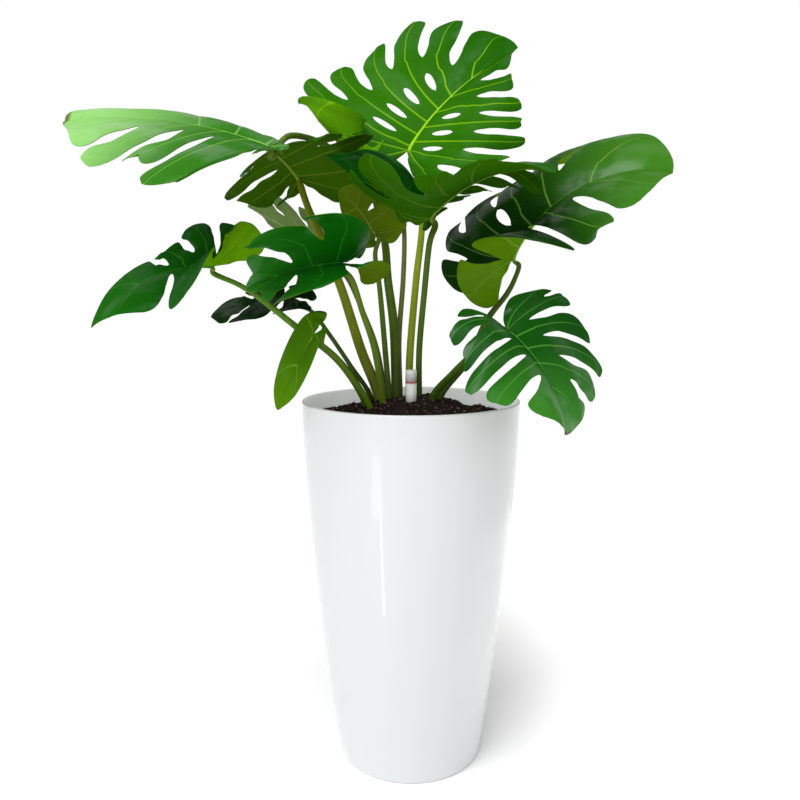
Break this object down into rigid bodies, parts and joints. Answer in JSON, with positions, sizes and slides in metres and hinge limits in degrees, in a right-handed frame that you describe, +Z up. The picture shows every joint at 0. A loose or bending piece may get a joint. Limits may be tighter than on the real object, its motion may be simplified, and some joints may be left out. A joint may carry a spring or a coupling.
{
  "type": "potted plant",
  "caption": "Split-leaf climbing foliage plant standing in a tall round tapered planter with soil and a water gauge.",
  "frame": {"origin": "middle of the planter's flat underside, where it rests on the floor", "axes": "+Z up along the planter's axis, -Y towards the viewer of the front, +X to the viewer's right"},
  "size_m": [0.9854, 0.7195, 1.437],
  "materials": {
    "planter": "glossy white",
    "separator": "matt dark grey",
    "soil": "loose dark potting soil",
    "gauge": "smooth white",
    "float": "matt red",
    "ring": "matt dark red",
    "leaf": "waxy green leaf",
    "stalk": "smooth green stalk"
  },
  "bodies": {
    "root": {"pot": "planter", "separator": "separator", "soil": "soil", "gauge_tube": "gauge", "gauge_float": "float", "gauge_ring_upper": "ring", "gauge_ring_lower": "ring", "leaf_01_blade": "leaf", "leaf_01_stalk": "stalk", "leaf_02_blade": "leaf", "leaf_02_stalk": "stalk", "leaf_03_blade": "leaf", "leaf_03_stalk": "stalk", "leaf_04_blade": "leaf", "leaf_04_stalk": "stalk", "leaf_05_blade": "leaf", "leaf_05_stalk": "stalk", "leaf_06_blade": "leaf", "leaf_06_stalk": "stalk", "leaf_07_blade": "leaf", "leaf_07_stalk": "stalk", "leaf_08_blade": "leaf", "leaf_08_stalk": "stalk", "leaf_09_blade": "leaf", "leaf_09_stalk": "stalk", "leaf_10_blade": "leaf", "leaf_10_stalk": "stalk", "leaf_11_blade": "leaf", "leaf_11_stalk": "stalk", "leaf_12_blade": "leaf", "leaf_12_stalk": "stalk", "leaf_13_blade": "leaf", "leaf_13_stalk": "stalk"}
  },
  "joints": []
}
